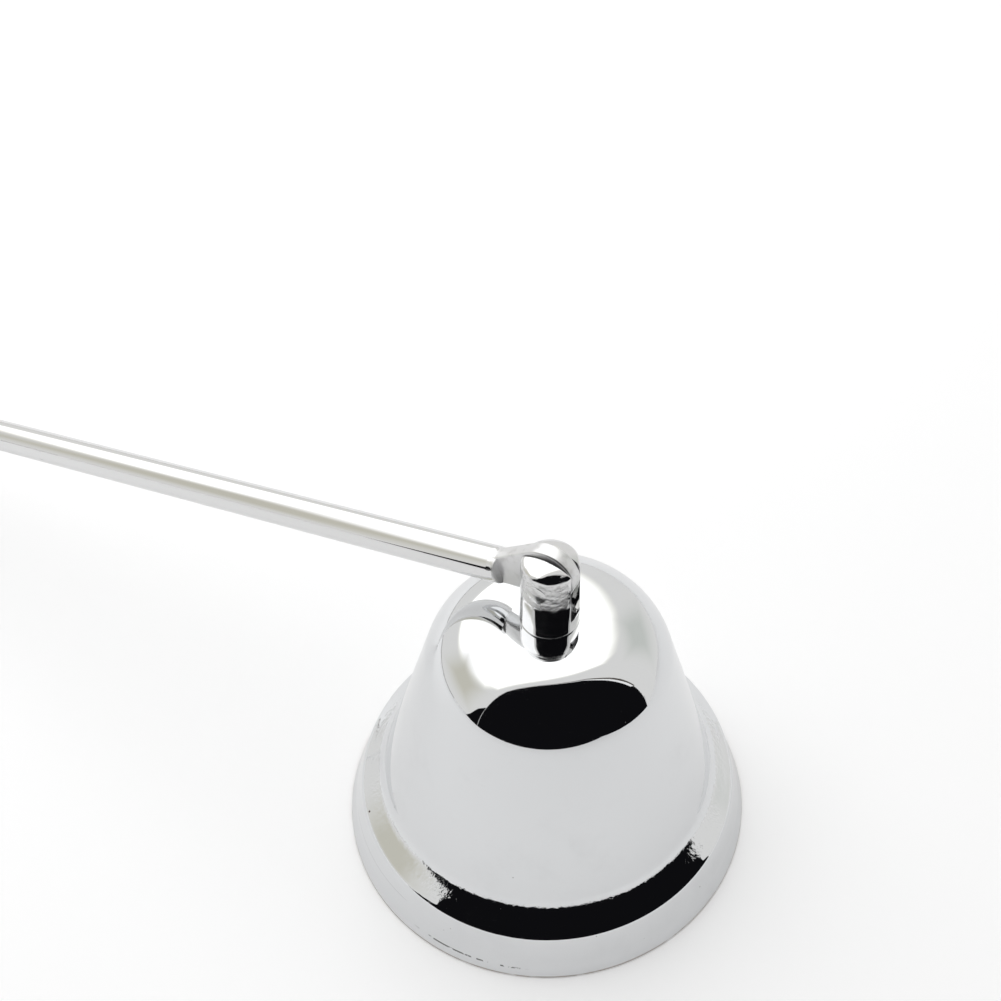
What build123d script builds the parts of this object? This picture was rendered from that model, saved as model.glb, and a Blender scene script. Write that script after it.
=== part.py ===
from build123d import *
import math
import os

# Candle snuffer with a swinging handle, all lengths in millimetres and all angles in degrees.
# The origin is the centre of the bell's mouth on the table, +Z runs up through the bell,
# and the handle leaves towards -X with its far tip resting on the table.

# Bell: one drawn sheet shell, a plain cone over a wider collar at the mouth, with a joggle between,
# and a domed crown round a small flat seat for the post. The taper leans in from upright, the joggle
# leans by its own angle more, and the crown bends down from level until the tighter shoulder takes over.
rim_radius = 19.0
bell_height = 27.8
bell_wall = 0.8
taper_angle = 15.9
rim_bead_radius = 0.45
bead_proud = 0.08
collar_step = 1.7
collar_height = 4.55
joggle_angle = 38.0
joggle_hollow_radius = 2.5
joggle_corner_radius = 0.95
crown_bend = 32.0
crown_edge_share = 0.832
seat_margin = 0.97

# Clevis post: a turned stud with a domed top and a slot for the handle, riveted through the bell.
# Its radius is taken at the pin, and the draft makes it a little wider at the foot than at the top.
post_radius = 2.45
post_draft = 0.9
post_crown_radius = 3.2
post_edge_radius = 0.8
pin_rise = 5.3
ear_cover = 2.5
slot_width = 1.5
slot_floor_gap = 0.85
tail_radius = 1.5
tail_fit = 0.05
rivet_head_radius = 2.1
rivet_head_height = 0.9

# Backing washer under the riveted tail, inside the bell.
washer_ledge = 1.2
washer_thickness = 0.6

# Hinge pin, pressed into both ears of the post.
pin_radius = 0.9
pin_proud = 0.1
pin_edge_radius = 0.25

# Handle: a round rod, pressed flat at one end and drilled for the pin. The eye's outline bulges
# more above the pin than below it.
handle_length = 140.0
handle_radius = 1.55
handle_drop = 0.36
eye_radius = 2.55
eye_rise = 0.5
eye_thickness = 1.3
flat_reach = 2.15
flat_runout = 0.25
rod_root_share = 0.6
rod_start_reach = 0.75
running_clearance = 0.06

# How far a cutting solid runs past the material that it cuts.
overrun = 1.0

# Places that follow from the sizes above.
collar_base_radius = rim_radius - bead_proud
cone_base_radius = collar_base_radius - collar_step
taper_slope = math.tan(math.radians(taper_angle))
joggle_slope = math.tan(math.radians(taper_angle + joggle_angle))
pin_height = bell_height + pin_rise
draft_slope = math.tan(math.radians(post_draft))
post_foot_radius = post_radius + pin_rise * draft_slope
post_tip_radius = post_radius - (ear_cover - post_edge_radius) * draft_slope
seat_radius = post_foot_radius + seat_margin
crown_edge = crown_edge_share * (cone_base_radius - bell_height * taper_slope)
crown_radius = (crown_edge - seat_radius) / math.sin(math.radians(crown_bend))
post_top = pin_height + ear_cover
slot_floor = pin_height - eye_radius - eye_rise - slot_floor_gap
washer_top = bell_height - bell_wall
washer_bottom = washer_top - washer_thickness
flat_length = post_radius + flat_reach
rod_start = flat_length + rod_start_reach


def half_plane_line(base_radius, slope, inset):
    """Radius at height zero of a leaning line, moved inwards at right angles by inset."""
    return base_radius - inset * math.hypot(1, slope)


def crossing(low_line, high_line):
    """Point where two leaning lines meet, each given as its radius at height zero and its slope."""
    height = (high_line[0] - low_line[0]) / (high_line[1] - low_line[1])
    return low_line[0] - low_line[1] * height, height


def bell_half(inset):
    """Solid half-section of the bell, with its surface moved inwards by inset."""
    collar = (half_plane_line(collar_base_radius, taper_slope, inset), taper_slope)
    cone = (half_plane_line(cone_base_radius, taper_slope, inset), taper_slope)
    shelf_base = collar_base_radius + (joggle_slope - taper_slope) * collar_height
    shelf = (half_plane_line(shelf_base, joggle_slope, inset), joggle_slope)

    top = bell_height - inset
    crown = crown_radius - inset
    start = math.radians(90 - crown_bend)
    end = math.radians(taper_angle)
    middle = (start + end) / 2

    def on_crown(angle):
        return seat_radius + crown * math.cos(angle), top - crown + crown * math.sin(angle)

    edge = on_crown(start)
    room = (cone[0] - edge[0]) * math.cos(end) - edge[1] * math.sin(end)
    shoulder = room / (1 - math.cos(start - end))
    centre = (edge[0] - shoulder * math.cos(start), edge[1] - shoulder * math.sin(start))

    def on_shoulder(angle):
        return centre[0] + shoulder * math.cos(angle), centre[1] + shoulder * math.sin(angle)

    side = FilletPolyline(
        (collar[0], 0),
        crossing(collar, shelf),
        crossing(cone, shelf),
        on_shoulder(end),
        radius=[joggle_corner_radius - inset, joggle_hollow_radius + inset],
    )
    round_top = ThreePointArc(on_shoulder(end), on_shoulder(middle), edge)
    dome = ThreePointArc(edge, on_crown((start + math.pi / 2) / 2), (seat_radius, top))
    closing = Polyline((seat_radius, top), (0, top), (0, 0), (collar[0], 0))
    return make_face(side + round_top + dome + closing)


def make_bell():
    """Thin shell with a beaded rim and a hole at its centre for the post's tail."""
    bead = Pos(rim_radius - rim_bead_radius, rim_bead_radius) * Circle(rim_bead_radius)
    section = bell_half(0) - bell_half(bell_wall) + bead
    shell = revolve(Plane.XZ * section, Axis.Z)
    hole_depth = bell_wall + 2 * overrun
    hole = Pos(0, 0, bell_height - bell_wall / 2) * Cylinder(tail_radius + tail_fit, hole_depth)
    return shell - hole


def make_post():
    """Turned stud with a domed top, a slot along X, a cross hole, and its riveted tail."""
    head_bottom = washer_bottom - rivet_head_height
    head_sphere = (rivet_head_radius**2 + rivet_head_height**2) / (2 * rivet_head_height)
    half_way = math.asin(rivet_head_radius / head_sphere) / 2
    head_bend = (head_sphere * math.sin(half_way), head_bottom + head_sphere * (1 - math.cos(half_way)))
    crown_centre = post_top - post_crown_radius
    reach = post_crown_radius - post_edge_radius
    edge_lean = math.acos((post_tip_radius - post_edge_radius) / reach)
    edge_height = crown_centre + reach * math.sin(edge_lean)
    crown_lean = (math.pi / 2 + edge_lean) / 2

    def on_crown(angle):
        return post_crown_radius * math.cos(angle), crown_centre + post_crown_radius * math.sin(angle)

    def on_edge(angle):
        out = post_tip_radius - post_edge_radius + post_edge_radius * math.cos(angle)
        return out, edge_height + post_edge_radius * math.sin(angle)

    head = ThreePointArc((0, head_bottom), head_bend, (rivet_head_radius, washer_bottom))
    side = Polyline(
        (rivet_head_radius, washer_bottom),
        (tail_radius, washer_bottom),
        (tail_radius, bell_height),
        (post_foot_radius, bell_height),
        on_edge(0),
    )
    edge = ThreePointArc(on_edge(0), on_edge(edge_lean / 2), on_edge(edge_lean))
    crown = ThreePointArc(on_edge(edge_lean), on_crown(crown_lean), (0, post_top))
    closing = Line((0, post_top), (0, head_bottom))
    stud = revolve(Plane.XZ * make_face(head + side + edge + crown + closing), Axis.Z)

    slot_depth = post_top - slot_floor + overrun
    slot_length = 2 * (post_radius + overrun)
    slot = Pos(0, 0, slot_floor + slot_depth / 2) * Box(slot_length, slot_width, slot_depth)
    cross_hole = Pos(0, 0, pin_height) * Rot(90, 0, 0) * Cylinder(pin_radius, slot_length)
    return stud - slot - cross_hole


def make_washer():
    """Flat washer between the bell's inside and the riveted head."""
    middle_height = (washer_top + washer_bottom) / 2
    disc = Cylinder(rivet_head_radius + washer_ledge, washer_thickness)
    hole = Cylinder(tail_radius + tail_fit, washer_thickness + 2 * overrun)
    return Pos(0, 0, middle_height) * (disc - hole)


def make_pin():
    """Plain pin with softened ends that stand a little proud of the ears."""
    pin = Cylinder(pin_radius, 2 * (post_radius + pin_proud))
    pin = fillet(pin.edges().filter_by(GeomType.CIRCLE), pin_edge_radius)
    return Pos(0, 0, pin_height) * Rot(90, 0, 0) * pin


def rest_tilt():
    """Angle of the handle below level when its round tip touches the table."""
    reach = handle_length - handle_radius
    slant = math.hypot(reach, handle_drop)
    lean = math.asin((pin_height - handle_radius) / slant)
    return math.degrees(lean - math.atan2(handle_drop, reach))


def make_handle():
    """Rod with its pressed, drilled eye, made level about the pin and then tilted to rest."""
    flat_half_height = math.sqrt(handle_radius**2 - (eye_thickness / 2) ** 2)
    eye = Pos(0, eye_rise) * Circle(eye_radius)
    neck = Pos(-flat_length, -handle_drop) * Circle(flat_half_height)
    outline = make_hull((eye.edges() + neck.edges()))
    plate = extrude(Plane.XZ * outline, eye_thickness / 2, both=True)

    root = rod_root_share * flat_length
    swell = rod_start - root
    straight = handle_length - handle_radius - rod_start
    along = Rot(0, 90, 0)
    root_cone = Cone(handle_radius, flat_half_height, swell)
    shaft = Cylinder(handle_radius, straight)
    rod = Pos(-root - swell / 2, 0, -handle_drop) * along * root_cone
    rod = rod + Pos(-rod_start - straight / 2, 0, -handle_drop) * along * shaft
    rod = rod + Pos(-rod_start - straight, 0, -handle_drop) * Sphere(handle_radius)

    cheek = handle_radius - eye_thickness / 2
    runout_end = flat_length + flat_runout * (cheek + overrun) / cheek
    wedge = make_face(
        Polyline(
            (0, eye_thickness / 2),
            (-flat_length, eye_thickness / 2),
            (-runout_end, handle_radius + overrun),
            (0, handle_radius + overrun),
            (0, eye_thickness / 2),
        )
    )
    cutter = extrude(wedge, handle_radius + handle_drop + overrun, both=True)
    rod = rod - cutter - mirror(cutter, about=Plane.XZ)

    hole = Rot(90, 0, 0) * Cylinder(pin_radius + running_clearance, eye_thickness + 2 * overrun)
    handle = plate + rod - hole
    return Pos(0, 0, pin_height) * Rot(0, -rest_tilt(), 0) * handle


nodes = {
    "bell": make_bell(),
    "clevis_post": make_post(),
    "backing_washer": make_washer(),
    "hinge_pin": make_pin(),
    "handle_rod": make_handle(),
}

os.makedirs("parts", exist_ok=True)
for name, solid in nodes.items():
    export_step(solid, "parts/" + name + ".step")

print("handle tilt at rest", round(rest_tilt(), 3))
print("pin height", round(pin_height, 3), "post top", round(post_top, 3))
print("seat radius", round(seat_radius, 3), "rod start", round(rod_start, 3))
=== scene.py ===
import math

import bpy
from mathutils import Euler, Matrix, Vector


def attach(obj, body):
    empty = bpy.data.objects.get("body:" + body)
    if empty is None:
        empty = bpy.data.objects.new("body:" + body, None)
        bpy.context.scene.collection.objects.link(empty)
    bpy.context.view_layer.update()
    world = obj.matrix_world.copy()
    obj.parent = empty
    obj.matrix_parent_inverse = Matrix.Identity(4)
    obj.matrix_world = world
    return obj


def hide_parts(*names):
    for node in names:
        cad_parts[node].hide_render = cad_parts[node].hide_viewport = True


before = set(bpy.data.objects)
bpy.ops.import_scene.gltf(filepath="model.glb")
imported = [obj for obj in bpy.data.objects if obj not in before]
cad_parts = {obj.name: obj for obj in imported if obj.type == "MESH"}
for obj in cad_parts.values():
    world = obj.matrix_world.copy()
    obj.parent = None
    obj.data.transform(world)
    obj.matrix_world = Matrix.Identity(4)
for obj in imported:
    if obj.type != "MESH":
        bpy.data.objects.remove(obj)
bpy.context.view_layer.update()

mm = 0.001

# Bell

# The bell is one sheet of brass, drawn and spun over a former and then chrome plated: a domed
# crown and a plain cone over a wider collar, with a joggle between them and a slightly flared,
# rounded edge at the mouth. The wall is drawn as a closed section and spun round the upright axis.
rim_radius = 19.0 * mm
bell_height = 27.8 * mm
bell_wall = 0.8 * mm
edge_round = 0.2 * mm
flare_height = 1.6 * mm
taper = math.radians(15.9)
joggle_lean = math.radians(53.9)
crown_radius = 7.993 * mm
crown_bend = math.radians(32.0)
collar_base = 18.92 * mm
cone_base = 17.22 * mm
collar_height = 4.55 * mm
corner_round = 0.95 * mm
hollow_round = 2.5 * mm
seat_radius = 3.503 * mm
tail_hole = 1.55 * mm
lip_height = 0.25 * mm
lip_step = 0.15 * mm

# A straight run has a point this close to each end, which keeps its shading straight, and
# points closer to each other than merge_within become one.
shading_hold = 0.05 * mm
merge_within = 0.002 * mm


def start_section(name, x, z):
    """A new mesh in edit mode with a single point of a section, which is drawn in the XZ plane."""
    bpy.ops.object.select_all(action="DESELECT")
    bpy.ops.mesh.primitive_plane_add(size=mm)
    piece = bpy.context.object
    piece.name = name
    piece.data.name = name
    bpy.ops.object.mode_set(mode="EDIT")
    bpy.ops.mesh.merge(type="CENTER")
    bpy.ops.transform.translate(value=(x, 0, z))
    return piece


def pen():
    """Where the section's selected end point is."""
    bpy.context.object.update_from_editmode()
    ends = [v.co.copy() for v in bpy.context.object.data.vertices if v.select]
    return ends[0]


def line_to(x, z):
    """Draws a straight run from the section's end point."""
    run = Vector((x, 0, z)) - pen()
    steps = [run]
    if run.length > 3 * shading_hold:
        short = run.normalized() * shading_hold
        steps = [short, run - 2 * short, short]
    for step in steps:
        bpy.ops.mesh.extrude_vertices_move(TRANSFORM_OT_translate={"value": step})


def arc_round(x, z, turn, steps):
    """Draws an arc round the centre x, z by the angle turn, which is positive anticlockwise."""
    bpy.ops.mesh.spin(steps=steps, angle=turn, center=(x, 0, z), axis=(0, 1, 0))


def close_section():
    """Joins the last point of a section to its first."""
    bpy.ops.mesh.select_all(action="SELECT")
    bpy.ops.mesh.remove_doubles(threshold=merge_within)


def turn_section(steps):
    """Spins the drawn section once round the upright axis, and closes the seam and the poles."""
    bpy.ops.mesh.select_all(action="SELECT")
    bpy.ops.mesh.spin(steps=steps, angle=math.tau, center=(0, 0, 0), axis=(0, 0, 1))
    bpy.ops.mesh.select_all(action="SELECT")
    bpy.ops.mesh.remove_doubles(threshold=merge_within)
    bpy.ops.mesh.normals_make_consistent(inside=False)
    bpy.ops.object.mode_set(mode="OBJECT")


def select_only(piece):
    """Makes the piece the only one that the next operator acts on."""
    bpy.ops.object.select_all(action="DESELECT")
    piece.select_set(True)
    bpy.context.view_layer.objects.active = piece


def smooth_by(piece, degrees):
    """Smooth shading, with a crisp line wherever two faces meet at more than the angle."""
    select_only(piece)
    bpy.ops.object.shade_smooth_by_angle(angle=math.radians(degrees))


def meeting(low, high):
    """Where two leaning lines meet, each given as its radius at the table and its lean."""
    z = (high[0] - low[0]) / (math.tan(high[1]) - math.tan(low[1]))
    return low[0] - z * math.tan(low[1]), z


def bell_lines(inset):
    """The collar, shelf and cone lines of the bell's wall, moved inwards by inset."""
    shelf_base = collar_base + (math.tan(joggle_lean) - math.tan(taper)) * collar_height
    return [
        (base - inset / math.cos(lean), lean)
        for base, lean in ((collar_base, taper), (shelf_base, joggle_lean), (cone_base, taper))
    ]


def on_arc(centre, radius, angle):
    """The point of an arc at an angle that is counted from level."""
    return centre[0] + radius * math.cos(angle), centre[1] + radius * math.sin(angle)


def shoulder_arc(inset):
    """Centre and radius of the round shoulder, which runs from the domed crown to the cone."""
    crown = crown_radius - inset
    start = math.pi / 2 - crown_bend
    edge = on_arc((seat_radius, bell_height - crown_radius), crown, start)
    room = (bell_lines(inset)[2][0] - edge[0]) * math.cos(taper) - edge[1] * math.sin(taper)
    radius = room / (1 - math.cos(start - taper))
    return on_arc(edge, -radius, start), radius


joggle_turn = joggle_lean - taper
edge_at = (rim_radius - edge_round, edge_round)
flare_start = (collar_base - math.tan(taper) * flare_height, flare_height)

corner_at = meeting(*bell_lines(corner_round)[:2])
hollow_at = meeting(*bell_lines(-hollow_round)[1:])
shoulder_at, shoulder_radius = shoulder_arc(0)
crown_at = (seat_radius, bell_height - crown_radius)
shoulder_turn = math.pi / 2 - crown_bend - taper
inner_corner_round = corner_round - bell_wall
inner_hollow_round = hollow_round + bell_wall
inner_shoulder_at = shoulder_arc(bell_wall)[0]
inner_line = bell_lines(bell_wall)[0][0]

bell = start_section("bell_shell", *on_arc(edge_at, edge_round, taper))
line_to(*flare_start)
line_to(*on_arc(corner_at, corner_round, taper))
arc_round(*corner_at, joggle_turn, steps=16)
line_to(*on_arc(hollow_at, -hollow_round, joggle_lean))
arc_round(*hollow_at, -joggle_turn, steps=16)
line_to(*on_arc(shoulder_at, shoulder_radius, taper))
arc_round(*shoulder_at, shoulder_turn, steps=26)
arc_round(*crown_at, crown_bend, steps=26)
line_to(tail_hole, bell_height)
line_to(tail_hole, bell_height - bell_wall)
line_to(seat_radius, bell_height - bell_wall)
arc_round(*crown_at, -crown_bend, steps=12)
arc_round(*inner_shoulder_at, -shoulder_turn, steps=16)
line_to(*on_arc(hollow_at, -inner_hollow_round, taper))
arc_round(*hollow_at, joggle_turn, steps=10)
line_to(*on_arc(corner_at, inner_corner_round, joggle_lean))
arc_round(*corner_at, -joggle_turn, steps=4)
line_to(inner_line - math.tan(taper) * lip_height, lip_height)
line_to(inner_line + lip_step, 0)
line_to(edge_at[0], 0)
arc_round(*edge_at, taper + math.pi / 2, steps=12)
close_section()
turn_section(steps=256)
smooth_by(bell, 40)
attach(bell, "snuffer_bell")
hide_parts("bell")


def feed(tree, socket, value):
    """Links a socket to another node's output, or gives it a plain value."""
    if isinstance(value, bpy.types.NodeSocket):
        tree.links.new(value, socket)
    else:
        socket.default_value = value


def maths(tree, kind, first, second=0.0):
    """The result of one sum."""
    node = tree.nodes.new("ShaderNodeMath")
    node.operation = kind
    feed(tree, node.inputs[0], first)
    feed(tree, node.inputs[1], second)
    return node.outputs[0]


def ramp(tree, value, low, high):
    """A smooth step from none at low to all at high."""
    node = tree.nodes.new("ShaderNodeMapRange")
    node.interpolation_type = "SMOOTHSTEP"
    feed(tree, node.inputs["Value"], value)
    feed(tree, node.inputs["From Min"], low)
    feed(tree, node.inputs["From Max"], high)
    return node.outputs["Result"]


def between(tree, value, low, high, soft):
    """All from low to high and none outside, with soft ends."""
    rising = ramp(tree, value, low - soft, low + soft)
    falling = ramp(tree, value, high + soft, high - soft)
    return maths(tree, "MULTIPLY", rising, falling)


def noise(tree, place, scale, detail, roughness=0.5):
    """Cloudy noise, with its scale as repeats in a metre."""
    node = tree.nodes.new("ShaderNodeTexNoise")
    feed(tree, node.inputs["Vector"], place)
    feed(tree, node.inputs["Scale"], scale)
    feed(tree, node.inputs["Detail"], detail)
    feed(tree, node.inputs["Roughness"], roughness)
    return node.outputs["Fac"]


def away_from(tree, place, spot):
    """How far a place is from a spot."""
    node = tree.nodes.new("ShaderNodeVectorMath")
    node.operation = "DISTANCE"
    feed(tree, node.inputs[0], place)
    feed(tree, node.inputs[1], spot)
    return node.outputs["Value"]


def blend(tree, amount, base, over):
    """One colour laid over another by a mask."""
    node = tree.nodes.new("ShaderNodeMix")
    node.data_type = "RGBA"
    feed(tree, node.inputs["Factor"], amount)
    feed(tree, node.inputs["A"], base)
    feed(tree, node.inputs["B"], over)
    return node.outputs["Result"]


def new_group(name, colours, amounts, outputs):
    """An empty node group with a Vector input, the named sockets, and its two end nodes."""
    tree = bpy.data.node_groups.new(name, "ShaderNodeTree")
    sockets = tree.interface
    sockets.new_socket("Vector", in_out="INPUT", socket_type="NodeSocketVector")
    for kind, given in (("NodeSocketColor", colours), ("NodeSocketFloat", amounts)):
        for key, value in given.items():
            sockets.new_socket(key, in_out="INPUT", socket_type=kind).default_value = value
    for key, kind in outputs.items():
        sockets.new_socket(key, in_out="OUTPUT", socket_type=kind)
    return tree, tree.nodes.new("NodeGroupInput").outputs, tree.nodes.new("NodeGroupOutput").inputs


def plating_wear():
    """Node group for bright plate: finger smudges, hair scratches, pits, and a slow unevenness."""
    tree, given, result = new_group(
        "plating wear",
        {"Clean": (0.8, 0.8, 0.8, 1), "Smudged": (0.7, 0.7, 0.7, 1)},
        {"Smudge Amount": 0.5, "Scratch Amount": 0.5, "Pit Amount": 0.5, "Polish": 0.03, "Ripple": 0.5},
        {"Color": "NodeSocketColor", "Roughness": "NodeSocketFloat", "Height": "NodeSocketFloat"},
    )
    place = given["Vector"]
    clouds = ramp(tree, noise(tree, place, 170, 5, 0.62), 0.5, 0.78)
    smudge = maths(tree, "MULTIPLY", clouds, given["Smudge Amount"])

    hair_sets = []
    for angles, stretch in (
        ((0.3, 0.2, 0.5), (260, 9000, 9000)),
        ((1.9, 0.7, 2.3), (400, 7000, 7000)),
    ):
        drawn_out = tree.nodes.new("ShaderNodeMapping")
        drawn_out.inputs["Rotation"].default_value = angles
        drawn_out.inputs["Scale"].default_value = stretch
        tree.links.new(place, drawn_out.inputs["Vector"])
        hair_sets.append(ramp(tree, noise(tree, drawn_out.outputs["Vector"], 1, 1, 0.4), 0.66, 0.72))
    hairs = maths(tree, "MAXIMUM", *hair_sets)
    hairs = maths(tree, "MULTIPLY", hairs, ramp(tree, noise(tree, place, 260, 2), 0.45, 0.62))
    hairs = maths(tree, "MULTIPLY", hairs, given["Scratch Amount"])

    cells = tree.nodes.new("ShaderNodeTexVoronoi")
    cells.inputs["Scale"].default_value = 520
    tree.links.new(place, cells.inputs["Vector"])
    pits = ramp(tree, cells.outputs["Distance"], 0.045, 0.02)
    pits = maths(tree, "MULTIPLY", pits, ramp(tree, noise(tree, place, 90, 2), 0.56, 0.6))
    pits = maths(tree, "MULTIPLY", pits, given["Pit Amount"])

    greasy = maths(tree, "MULTIPLY", smudge, 0.6)
    soil = maths(tree, "MAXIMUM", greasy, maths(tree, "MULTIPLY", hairs, 0.35))
    tint = blend(tree, soil, given["Clean"], given["Smudged"])
    feed(tree, result["Color"], blend(tree, pits, tint, (0.06, 0.05, 0.045, 1)))

    rough = maths(tree, "ADD", given["Polish"], maths(tree, "MULTIPLY", smudge, 0.16))
    rough = maths(tree, "ADD", rough, maths(tree, "MULTIPLY", hairs, 0.12))
    rough = maths(tree, "ADD", rough, maths(tree, "MULTIPLY", pits, 0.4))
    feed(tree, result["Roughness"], rough)

    swell = maths(tree, "MULTIPLY", noise(tree, place, 60, 1), 6.0)
    ripple = maths(tree, "ADD", swell, noise(tree, place, 900, 3, 0.45))
    height = maths(tree, "MULTIPLY", ripple, given["Ripple"])
    height = maths(tree, "SUBTRACT", height, maths(tree, "MULTIPLY", hairs, 0.25))
    height = maths(tree, "SUBTRACT", height, maths(tree, "MULTIPLY", pits, 4.0))
    feed(tree, result["Height"], height)
    return tree


wear_group = plating_wear()


def placed_group(tree, group, place, values):
    """A node group placed in a material, with its own values."""
    node = tree.nodes.new("ShaderNodeGroup")
    node.node_tree = group
    node.name = group.name
    feed(tree, node.inputs["Vector"], place)
    for key, value in values.items():
        feed(tree, node.inputs[key], value)
    return node.outputs


def object_place(tree):
    """The object's own coordinates, from the node that every plated material has."""
    return tree.nodes["Texture Coordinate"].outputs["Object"]


def plated(name, tint, values, turn=(0, 0, 0), stretch=(1, 1, 1)):
    """A polished metal material with the plating wear in it. Heights are in thousandths of mm."""
    material = bpy.data.materials.new(name)
    material.use_nodes = True
    tree = material.node_tree
    shader = tree.nodes["Principled BSDF"].inputs
    shader["Metallic"].default_value = 1
    tree.nodes.new("ShaderNodeTexCoord")
    mapping = tree.nodes.new("ShaderNodeMapping")
    mapping.inputs["Rotation"].default_value = turn
    mapping.inputs["Scale"].default_value = stretch
    tree.links.new(object_place(tree), mapping.inputs["Vector"])
    tints = {"Clean": (*tint, 1), "Smudged": (*[0.86 * c for c in tint], 1)}
    wear = placed_group(tree, wear_group, mapping.outputs["Vector"], {**tints, **values})
    bump = tree.nodes.new("ShaderNodeBump")
    bump.inputs["Strength"].default_value = 1
    bump.inputs["Distance"].default_value = 0.001 * mm
    tree.links.new(wear["Height"], bump.inputs["Height"])
    tree.links.new(wear["Color"], shader["Base Color"])
    tree.links.new(wear["Roughness"], shader["Roughness"])
    tree.links.new(bump.outputs["Normal"], shader["Normal"])
    return material


def mark(material, layers, rougher, higher):
    """Lays marks over the wear: tones through their masks, then more roughness and more height."""
    tree = material.node_tree
    wear = tree.nodes["plating wear"].outputs
    shader = tree.nodes["Principled BSDF"].inputs
    colour = wear["Color"]
    for mask, tone in layers:
        colour = blend(tree, mask, colour, (*tone, 1))
    tree.links.new(colour, shader["Base Color"])
    tree.links.new(maths(tree, "ADD", wear["Roughness"], rougher), shader["Roughness"])
    tree.links.new(maths(tree, "ADD", wear["Height"], higher), tree.nodes["Bump"].inputs["Height"])


bell_plate = plated(
    "bell plate",
    (0.80, 0.81, 0.82),
    {"Smudge Amount": 0.5, "Scratch Amount": 0.4, "Pit Amount": 0.6, "Polish": 0.02, "Ripple": 1.0},
)

# Where the bell's marks are. A band has its low and high ends and how soft they are, and a reach
# has the same as angles round the bell. The two depths are in thousandths of a millimetre.
ripple_band = (5.1 * mm, 6.7 * mm, 0.25 * mm)
ripple_depth = 26.0
swell_band = (4.2 * mm, 6.8 * mm, 0.4 * mm)
swell_depth = 30.0
# A painted reflection: the dark room seen in the crease by the rim, painted as a dark line in the
# bell's colour.
reflection_line_band = (0.92 * mm, 1.06 * mm, 0.04 * mm)
reflection_line_reach = (-1.72, -1.20, 0.06)
scrape_foot = 2.17 * mm
scrape_start = 2.436
scrape_rise = 1.074 * mm
scrape_reach = (-2.44, -1.85, 0.03)
scrape_half = (0.045 * mm, 0.02 * mm)
spot_at = (-12.08 * mm, -12.37 * mm, 4.79 * mm)
spot_round = (0.13 * mm, 0.07 * mm)
# A patchy brown tone along the lowest edge of the mouth, fading out upwards.
mouth_edge_fade = (0.32 * mm, 0.2 * mm)


def bell_marks(material):
    """The joggle's tool ripple, a painted reflection line by the rim, a faint scrape, a spot and a
    brown edge.
    """
    tree = material.node_tree
    place = object_place(tree)
    parts = tree.nodes.new("ShaderNodeSeparateXYZ")
    tree.links.new(place, parts.inputs[0])
    height = parts.outputs["Z"]
    around = maths(tree, "ARCTAN2", parts.outputs["Y"], parts.outputs["X"])

    fine = maths(tree, "MULTIPLY", noise(tree, place, 2200, 3), between(tree, height, *ripple_band))
    slow = maths(tree, "MULTIPLY", noise(tree, place, 420, 2), between(tree, height, *swell_band))
    fine = maths(tree, "MULTIPLY", fine, ripple_depth)
    slow = maths(tree, "MULTIPLY", slow, swell_depth)
    ripple = maths(tree, "ADD", fine, slow)

    # Painted reflection of the dark room: a broken dark line along the crease by the rim, over one
    # reach round the bell.
    broken = ramp(tree, noise(tree, place, 1500, 3), 0.46, 0.51)
    line = maths(tree, "MULTIPLY", between(tree, height, *reflection_line_band), broken)
    line = maths(tree, "MULTIPLY", line, between(tree, around, *reflection_line_reach))
    line = maths(tree, "MULTIPLY", line, 0.85)

    scrape_height = maths(tree, "MULTIPLY", maths(tree, "ADD", around, scrape_start), scrape_rise)
    off_scrape = maths(tree, "SUBTRACT", maths(tree, "SUBTRACT", height, scrape_foot), scrape_height)
    scrape = ramp(tree, maths(tree, "ABSOLUTE", off_scrape), *scrape_half)
    scrape = maths(tree, "MULTIPLY", scrape, between(tree, around, *scrape_reach))

    spot = ramp(tree, away_from(tree, place, spot_at), *spot_round)
    # The brown tone at the mouth's edge, in patches, strongest at the table.
    patchy = ramp(tree, noise(tree, place, 700, 3), 0.28, 0.5)
    edge = maths(tree, "MULTIPLY", ramp(tree, height, *mouth_edge_fade), patchy)
    layers = (
        (line, (0.05, 0.045, 0.04)),
        (maths(tree, "MULTIPLY", scrape, 0.35), (0.30, 0.30, 0.30)),
        (spot, (0.05, 0.015, 0.01)),
        (maths(tree, "MULTIPLY", edge, 0.9), (0.26, 0.19, 0.13)),
    )
    rough_marks = maths(tree, "MAXIMUM", maths(tree, "MAXIMUM", line, spot), edge)
    mark(material, layers, maths(tree, "MULTIPLY", rough_marks, 0.35), ripple)


bell_marks(bell_plate)
bell.data.materials.append(bell_plate)

# Clevis post

# The post is a turned brass stud with a domed top and a milled slot for the handle's eye. Its
# tail goes down through the bell and is riveted over the washer. Slot and pin hole are cut after
# the turning, and the edges of the slot are softened by polishing.
post_foot = 2.533 * mm
post_tip = 2.423 * mm
post_crown = 4.2 * mm
post_edge = 0.6 * mm
post_top = 35.6 * mm
foot_round = 0.16 * mm
pin_height = 33.1 * mm
slot_width = 1.5 * mm
slot_length = 8 * mm
slot_floor = 29.2 * mm
slot_overrun = 1 * mm
slot_edge_round = 0.07 * mm
tail_radius = 1.5 * mm
washer_bottom = 26.4 * mm
rivet_radius = 2.1 * mm
rivet_height = 0.9 * mm


def combine(piece, other, operation):
    """Cuts, joins or trims the piece with another shape, which is then removed."""
    step = piece.modifiers.new("combine", "BOOLEAN")
    step.object = other
    step.operation = operation
    step.solver = "EXACT"
    select_only(piece)
    bpy.ops.object.modifier_apply(modifier=step.name)
    bpy.data.objects.remove(other)


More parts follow.
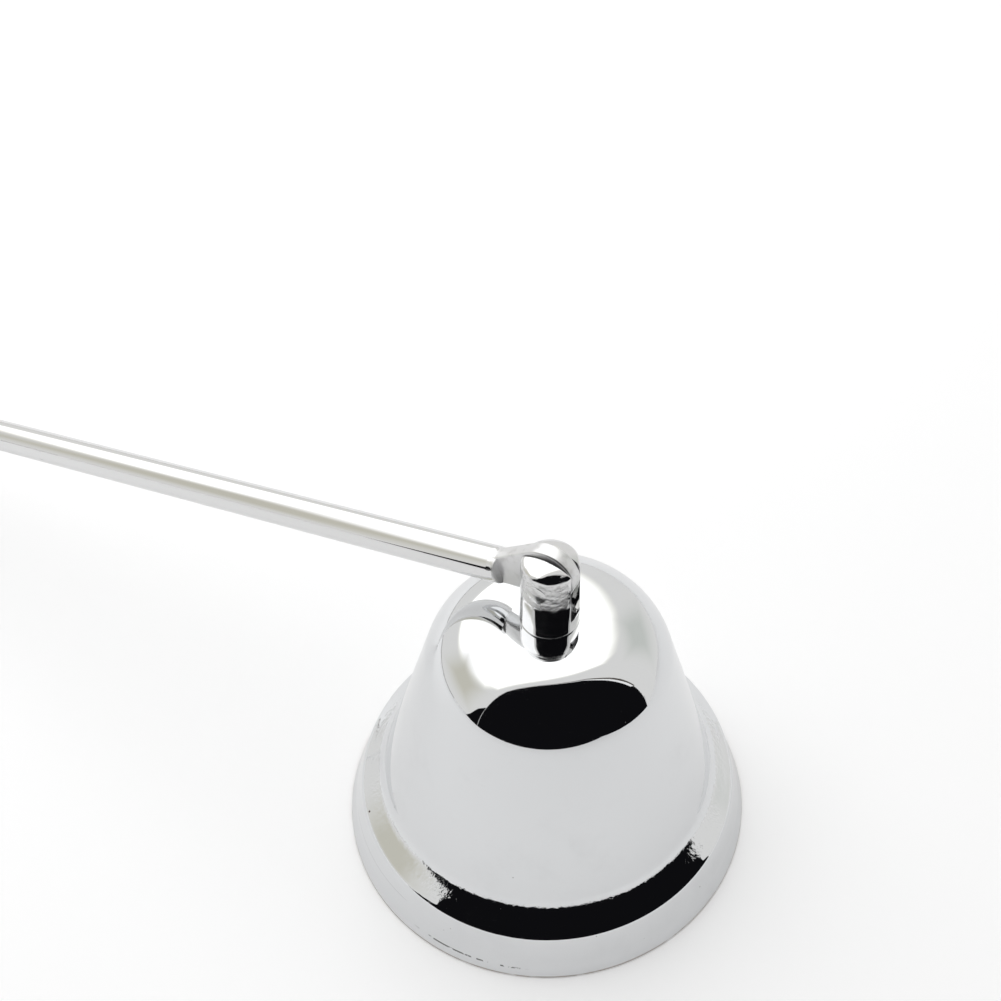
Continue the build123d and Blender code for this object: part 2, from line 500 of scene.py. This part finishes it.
def soften(piece, width, segments, angle):
    """Rounds the edges that are sharper than the angle."""
    bevel = piece.modifiers.new("soften", "BEVEL")
    bevel.width = width
    bevel.segments = segments
    bevel.limit_method = "ANGLE"
    bevel.angle_limit = math.radians(angle)
    bevel.use_clamp_overlap = True
    select_only(piece)
    bpy.ops.object.modifier_apply(modifier=bevel.name)


def settle():
    """Puts the selected shape's place, turn and size into its mesh."""
    bpy.ops.object.transform_apply(location=True, rotation=True, scale=True)


edge_lean = math.acos((post_tip - post_edge) / (post_crown - post_edge))
edge_height = post_top - post_crown + (post_crown - post_edge) * math.sin(edge_lean)
rivet_bottom = washer_bottom - rivet_height
rivet_sphere = (rivet_radius**2 + rivet_height**2) / (2 * rivet_height)
post = start_section("clevis_stud", 0, rivet_bottom)
arc_round(0, rivet_bottom + rivet_sphere, math.asin(rivet_radius / rivet_sphere), steps=10)
line_to(tail_radius, washer_bottom)
line_to(tail_radius, bell_height)
line_to(post_foot - foot_round, bell_height)
arc_round(post_foot - foot_round, bell_height + foot_round, math.pi / 2, steps=6)
line_to(post_tip, edge_height)
arc_round(post_tip - post_edge, edge_height, edge_lean, steps=10)
arc_round(0, post_top - post_crown, math.pi / 2 - edge_lean, steps=14)
turn_section(steps=96)

slot_top = post_top + slot_overrun
bpy.ops.mesh.primitive_cube_add(size=1, location=(0, 0, (slot_floor + slot_top) / 2))
slot_cutter = bpy.context.object
slot_cutter.scale = (slot_length, slot_width, slot_top - slot_floor)
settle()
combine(post, slot_cutter, "DIFFERENCE")
soften(post, slot_edge_round, segments=3, angle=50)
smooth_by(post, 30)
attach(post, "snuffer_bell")
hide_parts("clevis_post")
post_plate = plated(
    "post plate",
    (0.80, 0.80, 0.80),
    {"Smudge Amount": 0.8, "Scratch Amount": 0.5, "Pit Amount": 0.8, "Polish": 0.035, "Ripple": 1.6},
)


def hand_dressing():
    """Node group for metal dressed by hand before plating: satin, stained and dented in an area."""
    tree, given, result = new_group(
        "hand dressing",
        {},
        {
            "Area": 1.0,
            "Satin": 0.2,
            "Stain Scale": 1900,
            "Stain Limit": 0.72,
            "Stain Amount": 0.6,
            "Dent Scale": 1500,
            "Dent Height": 48.0,
        },
        {"Stain": "NodeSocketFloat", "Roughness": "NodeSocketFloat", "Height": "NodeSocketFloat"},
    )
    place, area = given["Vector"], given["Area"]
    stain = ramp(tree, noise(tree, place, given["Stain Scale"], 3), 0.5, given["Stain Limit"])
    stain = maths(tree, "MULTIPLY", area, stain)
    dents = maths(tree, "MULTIPLY", noise(tree, place, given["Dent Scale"], 3), given["Dent Height"])
    feed(tree, result["Stain"], maths(tree, "MULTIPLY", stain, given["Stain Amount"]))
    feed(tree, result["Roughness"], maths(tree, "MULTIPLY", area, given["Satin"]))
    feed(tree, result["Height"], maths(tree, "MULTIPLY", area, dents))
    return tree


dressing_group = hand_dressing()


def dress(material, tone, values):
    """Lays the marks of hand dressing over a plated material."""
    tree = material.node_tree
    dressed = placed_group(tree, dressing_group, object_place(tree), values)
    mark(material, ((dressed["Stain"], tone),), dressed["Roughness"], dressed["Height"])


def dressed_ears(tree):
    """The outer faces of both ears round the pin, with a wavy edge above and below."""
    face_reach = (0.85 * mm, 1.2 * mm)
    face_band = (32.0 * mm, 35.35 * mm, 0.25 * mm)
    waves = 1.2 * mm
    place = object_place(tree)
    parts = tree.nodes.new("ShaderNodeSeparateXYZ")
    tree.links.new(place, parts.inputs[0])
    ears = ramp(tree, maths(tree, "ABSOLUTE", parts.outputs["Y"]), *face_reach)
    wave = maths(tree, "MULTIPLY", noise(tree, place, 900, 2), waves)
    wavy = maths(tree, "ADD", parts.outputs["Z"], wave)
    return maths(tree, "MULTIPLY", ears, between(tree, wavy, *face_band))


dress(post_plate, (0.42, 0.41, 0.40), {"Area": dressed_ears(post_plate.node_tree), "Satin": 0.2})
post.data.materials.append(post_plate)

# Backing washer

# A stamped steel washer between the bell and the riveted tail, inside the bell, where soot has
# darkened it. Its CAD node is the right shape and stays, with this finish.
washer_steel = plated(
    "sooty washer steel",
    (0.46, 0.45, 0.43),
    {"Smudge Amount": 1.0, "Scratch Amount": 1.0, "Pit Amount": 1.0, "Polish": 0.28, "Ripple": 3.0},
)
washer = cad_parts["backing_washer"]
for slot in washer.material_slots:
    slot.material = washer_steel

# Hinge pin

# A short plain pin, pressed through both ears of the post. Its ends are dressed down to the round
# of the post, until they stand only a hair proud, and are plated over with it.
pin_radius = 0.9 * mm
pin_proud = 0.03 * mm
pin_blank = 6 * mm
pin_edge_round = 0.04 * mm
dressing_height = 8 * mm


def across_hinge(vertices, radius, length, height):
    """A plain cylinder along the hinge's axis, at a height, selected and settled."""
    bpy.ops.mesh.primitive_cylinder_add(
        vertices=vertices,
        radius=radius,
        depth=length,
        location=(0, 0, height),
        rotation=(math.pi / 2, 0, 0),
    )
    settle()
    return bpy.context.object


bpy.ops.object.select_all(action="DESELECT")
pin = across_hinge(64, pin_radius, pin_blank, pin_height)
pin.name = "hinge_rivet"
draft_share = (pin_height - bell_height) / (edge_height - bell_height)
post_at_pin = post_foot + (post_tip - post_foot) * draft_share
bpy.ops.mesh.primitive_cylinder_add(
    vertices=256, radius=post_at_pin + pin_proud, depth=dressing_height, location=(0, 0, pin_height)
)
settle()
combine(pin, bpy.context.object, "INTERSECT")
soften(pin, pin_edge_round, segments=2, angle=50)
smooth_by(pin, 40)
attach(pin, "snuffer_bell")
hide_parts("hinge_pin")
pin_plate = plated(
    "pin plate",
    (0.76, 0.76, 0.76),
    {"Smudge Amount": 1.0, "Scratch Amount": 0.8, "Pit Amount": 1.0, "Polish": 0.06, "Ripple": 2.0},
)
dress(pin_plate, (0.42, 0.41, 0.40), {"Satin": 0.16})
pin.data.materials.append(pin_plate)

# Handle

# The handle is a plain round steel rod with a rounded tip. The other end is pressed flat into an
# eye, drilled for the pin, and the flat runs out into the rod in a short slope on both sides. It
# is made level about the pin, and then tilted until its tip rests on the table.
handle_length = 140.0 * mm
handle_radius = 1.55 * mm
handle_drop = 0.36 * mm
handle_tilt = math.radians(13.023)
eye_radius = 2.55 * mm
eye_rise = 0.5 * mm
eye_half = 0.65 * mm
eye_edge_round = 0.16 * mm
flat_length = 4.6 * mm
flat_runout = 0.25 * mm
neck_half = 1.407 * mm
root_at = 2.76 * mm
rod_start = 5.35 * mm
eye_hole = 0.96 * mm
drill_length = 6 * mm
wedge_past_pin = 2 * mm
wedge_half_width = 3 * mm
wedge_overrun = 1 * mm

tip_centre = handle_length - handle_radius
handle = start_section("handle_bar", 0, -root_at)
line_to(neck_half, -root_at)
line_to(handle_radius, -rod_start)
line_to(handle_radius, -tip_centre)
arc_round(0, -tip_centre, -math.pi / 2, steps=12)
turn_section(steps=64)
handle.matrix_world = Matrix.Translation((0, 0, -handle_drop)) @ Matrix.Rotation(math.pi / 2, 4, "Y")
settle()

cheek = handle_radius - eye_half
flat_end = flat_length + flat_runout * (cheek + wedge_overrun) / cheek
for side in (1, -1):
    bpy.ops.mesh.primitive_cube_add(size=1)
    wedge = bpy.context.object
    for v in wedge.data.vertices:
        outside = v.co.y * side > 0
        end = -flat_end if outside else -flat_length
        v.co.x = wedge_past_pin if v.co.x > 0 else end
        v.co.y = side * (handle_radius + wedge_overrun if outside else eye_half)
        v.co.z = wedge_half_width if v.co.z > 0 else -wedge_half_width
    combine(handle, wedge, "DIFFERENCE")

# The eye's outline is the smallest one round the eye circle and the end of the flattened neck.
span = math.hypot(flat_length, handle_drop + eye_rise)
heading = math.atan2(-handle_drop - eye_rise, -flat_length)
spread = math.acos((eye_radius - neck_half) / span)
eye = start_section("eye", *on_arc((0, eye_rise), eye_radius, heading + spread))
arc_round(0, eye_rise, math.tau - 2 * spread, steps=64)
line_to(*on_arc((-flat_length, -handle_drop), neck_half, heading - spread))
arc_round(-flat_length, -handle_drop, 2 * spread, steps=28)
close_section()
bpy.ops.mesh.edge_face_add()
bpy.ops.mesh.extrude_region_move(TRANSFORM_OT_translate={"value": (0, 2 * eye_half, 0)})
bpy.ops.mesh.select_all(action="SELECT")
bpy.ops.transform.translate(value=(0, -eye_half, 0))
bpy.ops.mesh.normals_make_consistent(inside=False)
bpy.ops.object.mode_set(mode="OBJECT")
soften(eye, eye_edge_round, segments=4, angle=60)
combine(handle, eye, "UNION")

combine(handle, across_hinge(48, eye_hole, drill_length, 0), "DIFFERENCE")
handle.matrix_world = Matrix.Translation((0, 0, pin_height)) @ Matrix.Rotation(-handle_tilt, 4, "Y")
settle()
smooth_by(handle, 30)
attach(handle, "handle")
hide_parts("handle_rod")
handle_plate = plated(
    "handle plate",
    (0.80, 0.80, 0.80),
    {"Smudge Amount": 0.5, "Scratch Amount": 0.6, "Pit Amount": 0.5, "Polish": 0.025, "Ripple": 0.8},
    turn=(0, handle_tilt, 0),
    stretch=(0.2, 1, 1),
)


def pressed_eye(tree):
    """The pressed eye, which keeps the satin of the press tool up to where the flat runs out."""
    pressed_reach = (5.2 * mm, 4.95 * mm)
    return ramp(tree, away_from(tree, object_place(tree), (0, 0, pin_height)), *pressed_reach)


dress(
    handle_plate,
    (0.50, 0.49, 0.47),
    {
        "Area": pressed_eye(handle_plate.node_tree),
        "Satin": 0.27,
        "Stain Scale": 1300,
        "Stain Limit": 0.75,
        "Stain Amount": 0.4,
        "Dent Scale": 1700,
        "Dent Height": 16.0,
    },
)
handle.data.materials.append(handle_plate)

# Table

# A plain pale table top. Rays from the camera and from the polished metal see it a little lighter
# than the light alone makes it, so it reads as white and still keeps the snuffer's shadow.
table_size = 6000 * mm
table_seen = 0.185
table_in_metal = 0.045

bpy.ops.object.select_all(action="DESELECT")
bpy.ops.mesh.primitive_plane_add(size=table_size)
table = bpy.context.object
table.name = "table_top"


def glow_material(name, colour, seen, glossy, diffuse=None):
    """A surface that shows its own plain tone to the camera and to the metal."""
    material = bpy.data.materials.new(name)
    material.use_nodes = True
    tree = material.node_tree
    tree.nodes.remove(tree.nodes["Principled BSDF"])
    path = tree.nodes.new("ShaderNodeLightPath").outputs
    to_camera = maths(tree, "MULTIPLY", path["Is Camera Ray"], seen)
    to_metal = maths(tree, "MULTIPLY", path["Is Glossy Ray"], glossy)
    through = maths(tree, "MULTIPLY", path["Is Transmission Ray"], glossy)
    glow = tree.nodes.new("ShaderNodeEmission")
    glow.inputs["Color"].default_value = (*colour, 1)
    amount = maths(tree, "ADD", maths(tree, "ADD", to_camera, to_metal), through)
    tree.links.new(amount, glow.inputs["Strength"])
    last = glow
    if diffuse is not None:
        matt = tree.nodes.new("ShaderNodeBsdfDiffuse")
        matt.inputs["Color"].default_value = (*diffuse, 1)
        last = tree.nodes.new("ShaderNodeAddShader")
        tree.links.new(matt.outputs[0], last.inputs[0])
        tree.links.new(glow.outputs[0], last.inputs[1])
    tree.links.new(last.outputs[0], tree.nodes["Material Output"].inputs["Surface"])
    return material


table_tone = glow_material("pale table", (1, 1, 1), table_seen, table_in_metal, (0.86, 0.86, 0.86))
table.data.materials.append(table_tone)

# Tent

# The picture was taken in a white light tent whose open front faces a dark room. Only the metal sees
# these cards: the bright roof, the dark room past the opening, its trim, and the seam at the floor.
# Their places are in millimetres from the centre of the bell's mouth.
front_way = Vector((0.777, -0.629, 0))
room_depth = 700
opening = [
    (-106, -216, 0), (-106, -216, 250), (-96, -203, 330), (-60, -160, 360), (6, -79, 345),
    (52, -22, 275), (80, 13, 213), (93, 28, 130), (97, 33, 60), (97, 33, 0),
]
sheet_edge = [
    (-106, -216), (-40, -212), (27, -190), (100, -162), (170, -132), (300, -85), (560, 20),
]
sheet_rise = 0.2
low_gap = [(-107, -217, 0), (-107, -217, 125), (-150, -247, 100), (-190, -274, 38), (-235, -303, 0)]
trim_hub = Vector((10, -75, 120))
trim_width = 9
cord_width = 6


def metal_only(piece):
    """A stage card that only reflections see, and that neither lights nor shades anything."""
    piece.visible_camera = False
    piece.visible_diffuse = False
    piece.visible_shadow = False


def card_from(name, points, faces, material):
    """A stage card from its corner points in millimetres."""
    mesh = bpy.data.meshes.new(name)
    mesh.from_pydata([Vector(p) * mm for p in points], [], faces)
    card = bpy.data.objects.new(name, mesh)
    bpy.context.scene.collection.objects.link(card)
    mesh.materials.append(material)
    metal_only(card)
    return card


def strip(name, line, other, material):
    """A ribbon between two lines of as many points."""
    count = len(line)
    faces = [(i, i + 1, i + 1 + count, i + count) for i in range(count - 1)]
    return card_from(name, list(line) + list(other), faces, material)


def moved(line, step):
    """A line with every point moved by the same step."""
    return [p + step for p in line]


def beside_opening(line, width):
    """The line's points moved towards the middle of the opening by width, just behind its edge."""
    return [p + (trim_hub - p).normalized() * width - front_way for p in line]


dark_tone = glow_material("dark room", (0.005, 0.005, 0.006), 0, 1.0)
front_line = [Vector(p) for p in opening]
back_line = moved(front_line, front_way * room_depth)
strip("room_walls", front_line, back_line, dark_tone)
card_from("room_end", back_line, [tuple(range(len(back_line)))], dark_tone)
sheet_line = [Vector((x, y, sheet_rise)) for x, y in sheet_edge]
strip("room_floor", sheet_line, moved(sheet_line, front_way * room_depth), dark_tone)
card_from("low_gap", low_gap, [tuple(range(len(low_gap)))], dark_tone)

trim_tone = glow_material("pale trim", (1, 1, 1), 0, 0.95)
seam_tone = glow_material("seam shadow", (0.10, 0.09, 0.08), 0, 1.0)
trim_line = front_line[1:9]
strip("door_trim", trim_line, beside_opening(trim_line, trim_width), trim_tone)
strip("door_cord", trim_line, beside_opening(trim_line, -cord_width), seam_tone)

tent_turn = math.radians(51)
seam_height = 5
wall_height = 160
roof_height = 450
seam_plan = [(-500, 120), (-500, 620), (60, 620)]
wall_plan = [(-234, -53), (-505, -53), (-505, 625), (375, 625), (375, -53), (87, -53)]
roof_inner_plan = [
    (-330, -20), (210, -20), (240, 50), (260, 200), (275, 400), (310, 650), (380, 1200),
    (-330, 1200), (-480, 800), (-540, 500), (-540, 250), (-430, 60),
]
roof_outer_plan = [
    (-400, -45), (280, -45), (390, 30), (470, 190), (560, 400), (640, 660), (800, 1350),
    (-380, 1400), (-680, 860), (-790, 530), (-780, 210), (-590, 10),
]


def along_tent(plan, z):
    """Places at one height, from a plan across the tent and away from its front."""
    across = Vector((math.cos(tent_turn), math.sin(tent_turn), 0))
    away = Vector((-math.sin(tent_turn), math.cos(tent_turn), 0))
    return [u * across + v * away + Vector((0, 0, z)) for u, v in plan]


strip("floor_seam", along_tent(seam_plan, 0), along_tent(seam_plan, seam_height), seam_tone)
wall_tone = glow_material("tent wall", (0.99, 0.985, 0.97), 0, 0.8)
strip("tent_wall", along_tent(wall_plan, 0), along_tent(wall_plan, wall_height), wall_tone)


def faded_card(name, inner, outer, core, rim, strength):
    """A glowing card whose light fades out, through its rim tone, from the inner to the outer line."""
    material = bpy.data.materials.new(name)
    material.use_nodes = True
    tree = material.node_tree
    tree.nodes.remove(tree.nodes["Principled BSDF"])
    fade = tree.nodes.new("ShaderNodeAttribute")
    fade.attribute_name = "fade"
    glow = tree.nodes.new("ShaderNodeEmission")
    glow.inputs["Strength"].default_value = strength
    tone = blend(tree, fade.outputs["Fac"], (*rim, 1), (*core, 1))
    tree.links.new(tone, glow.inputs["Color"])
    clear = tree.nodes.new("ShaderNodeBsdfTransparent")
    mix = tree.nodes.new("ShaderNodeMixShader")
    tree.links.new(ramp(tree, fade.outputs["Fac"], 0.0, 1.0), mix.inputs[0])
    tree.links.new(clear.outputs[0], mix.inputs[1])
    tree.links.new(glow.outputs[0], mix.inputs[2])
    tree.links.new(mix.outputs[0], tree.nodes["Material Output"].inputs["Surface"])

    count = len(inner)
    faces = [tuple(range(count))]
    faces += [(i, (i + 1) % count, (i + 1) % count + count, i + count) for i in range(count)]
    card = card_from(name, list(inner) + list(outer), faces, material)
    held = card.data.attributes.new("fade", "FLOAT", "POINT")
    for i in range(2 * count):
        held.data[i].value = 1.0 if i < count else 0.0


faded_card(
    "bright_roof",
    along_tent(roof_inner_plan, roof_height),
    along_tent(roof_outer_plan, roof_height),
    (1, 1, 1),
    (0.80, 0.79, 0.68),
    1.5,
)

wall_rim_tone = (0.8, 0.8, 0.97 * 0.8)
core_width_share = 0.25
core_height_share = 0.12


def wall_patch(name, heading, half, away, foot, top, colour):
    """A part of the tent's wall that is a little darker than the rest, with no edge to it."""

    def upright(width_share, low, high):
        corners = ((-1, low), (1, low), (1, high), (-1, high))
        line = []
        for turn, z in corners:
            angle = math.radians(heading + turn * width_share * half)
            line.append(Vector((away * math.cos(angle), away * math.sin(angle), z)))
        return line

    middle = (foot + top) / 2
    band = core_height_share * (top - foot)
    inner = upright(core_width_share, middle - band, middle + band)
    faded_card(name, inner, upright(1, foot, top), colour, wall_rim_tone, 1.0)


wall_patch("left_wall", -148, 31, 420, -10, 400, (0.62, 0.605, 0.53))
wall_patch("right_wall", 62, 28, 225, -5, 262, (0.62, 0.64, 0.61))

# Light

# A soft white world and one large soft box above and behind the snuffer, at a plain level. The
# camera, the metal and plain surfaces each see the world at a strength of their own.
world = bpy.data.worlds.new("studio")
bpy.context.scene.world = world
world.use_nodes = True
tree = world.node_tree
plain_light = tree.nodes["Background"]
metal_light = tree.nodes.new("ShaderNodeBackground")
backdrop = tree.nodes.new("ShaderNodeBackground")
for background, colour, strength in (
    (plain_light, (1, 1, 1, 1), 0.55),
    (metal_light, (0.99, 0.985, 0.97, 1), 0.8),
    (backdrop, (1, 1, 1, 1), 1.0),
):
    background.inputs["Color"].default_value = colour
    background.inputs["Strength"].default_value = strength
path = tree.nodes.new("ShaderNodeLightPath").outputs
unseen = tree.nodes.new("ShaderNodeMixShader")
everything = tree.nodes.new("ShaderNodeMixShader")
for mix, ray, otherwise, when in (
    (unseen, "Is Glossy Ray", plain_light, metal_light),
    (everything, "Is Camera Ray", unseen, backdrop),
):
    tree.links.new(path[ray], mix.inputs[0])
    tree.links.new(otherwise.outputs[0], mix.inputs[1])
    tree.links.new(when.outputs[0], mix.inputs[2])
tree.links.new(everything.outputs[0], tree.nodes["World Output"].inputs["Surface"])

softbox = bpy.data.lights.new("softbox", "AREA")
softbox.shape = "RECTANGLE"
softbox.size = 620 * mm
softbox.size_y = 420 * mm
softbox.energy = 1.32
softbox_at = (-210 * mm, 100 * mm, 400 * mm)
softbox_object = bpy.data.objects.new("softbox", softbox)
bpy.context.scene.collection.objects.link(softbox_object)
softbox_object.visible_glossy = False
softbox_object.matrix_world = Matrix.Translation(softbox_at) @ Matrix.Rotation(tent_turn, 4, "Z")

# Camera

# The camera stands close in front and looks steeply down, as the photograph was taken. Its place,
# its turn and its lens were solved from the bell's ellipses, the post and the rod.
camera_at = (35.649 * mm, -65.419 * mm, 121.813 * mm)
camera_turn = Euler([math.radians(angle) for angle in (42.918, -1.596, 27.981)])
camera = bpy.data.cameras.new("camera")
camera.sensor_width = 36
camera.lens = 51.305
camera.shift_x = -0.08981
camera.shift_y = 0.00275
camera.clip_start = 1 * mm
camera_object = bpy.data.objects.new("camera", camera)
bpy.context.scene.collection.objects.link(camera_object)
camera_object.matrix_world = Matrix.Translation(camera_at) @ camera_turn.to_matrix().to_4x4()
bpy.context.scene.camera = camera_object
bpy.context.scene.view_settings.view_transform = "Standard"
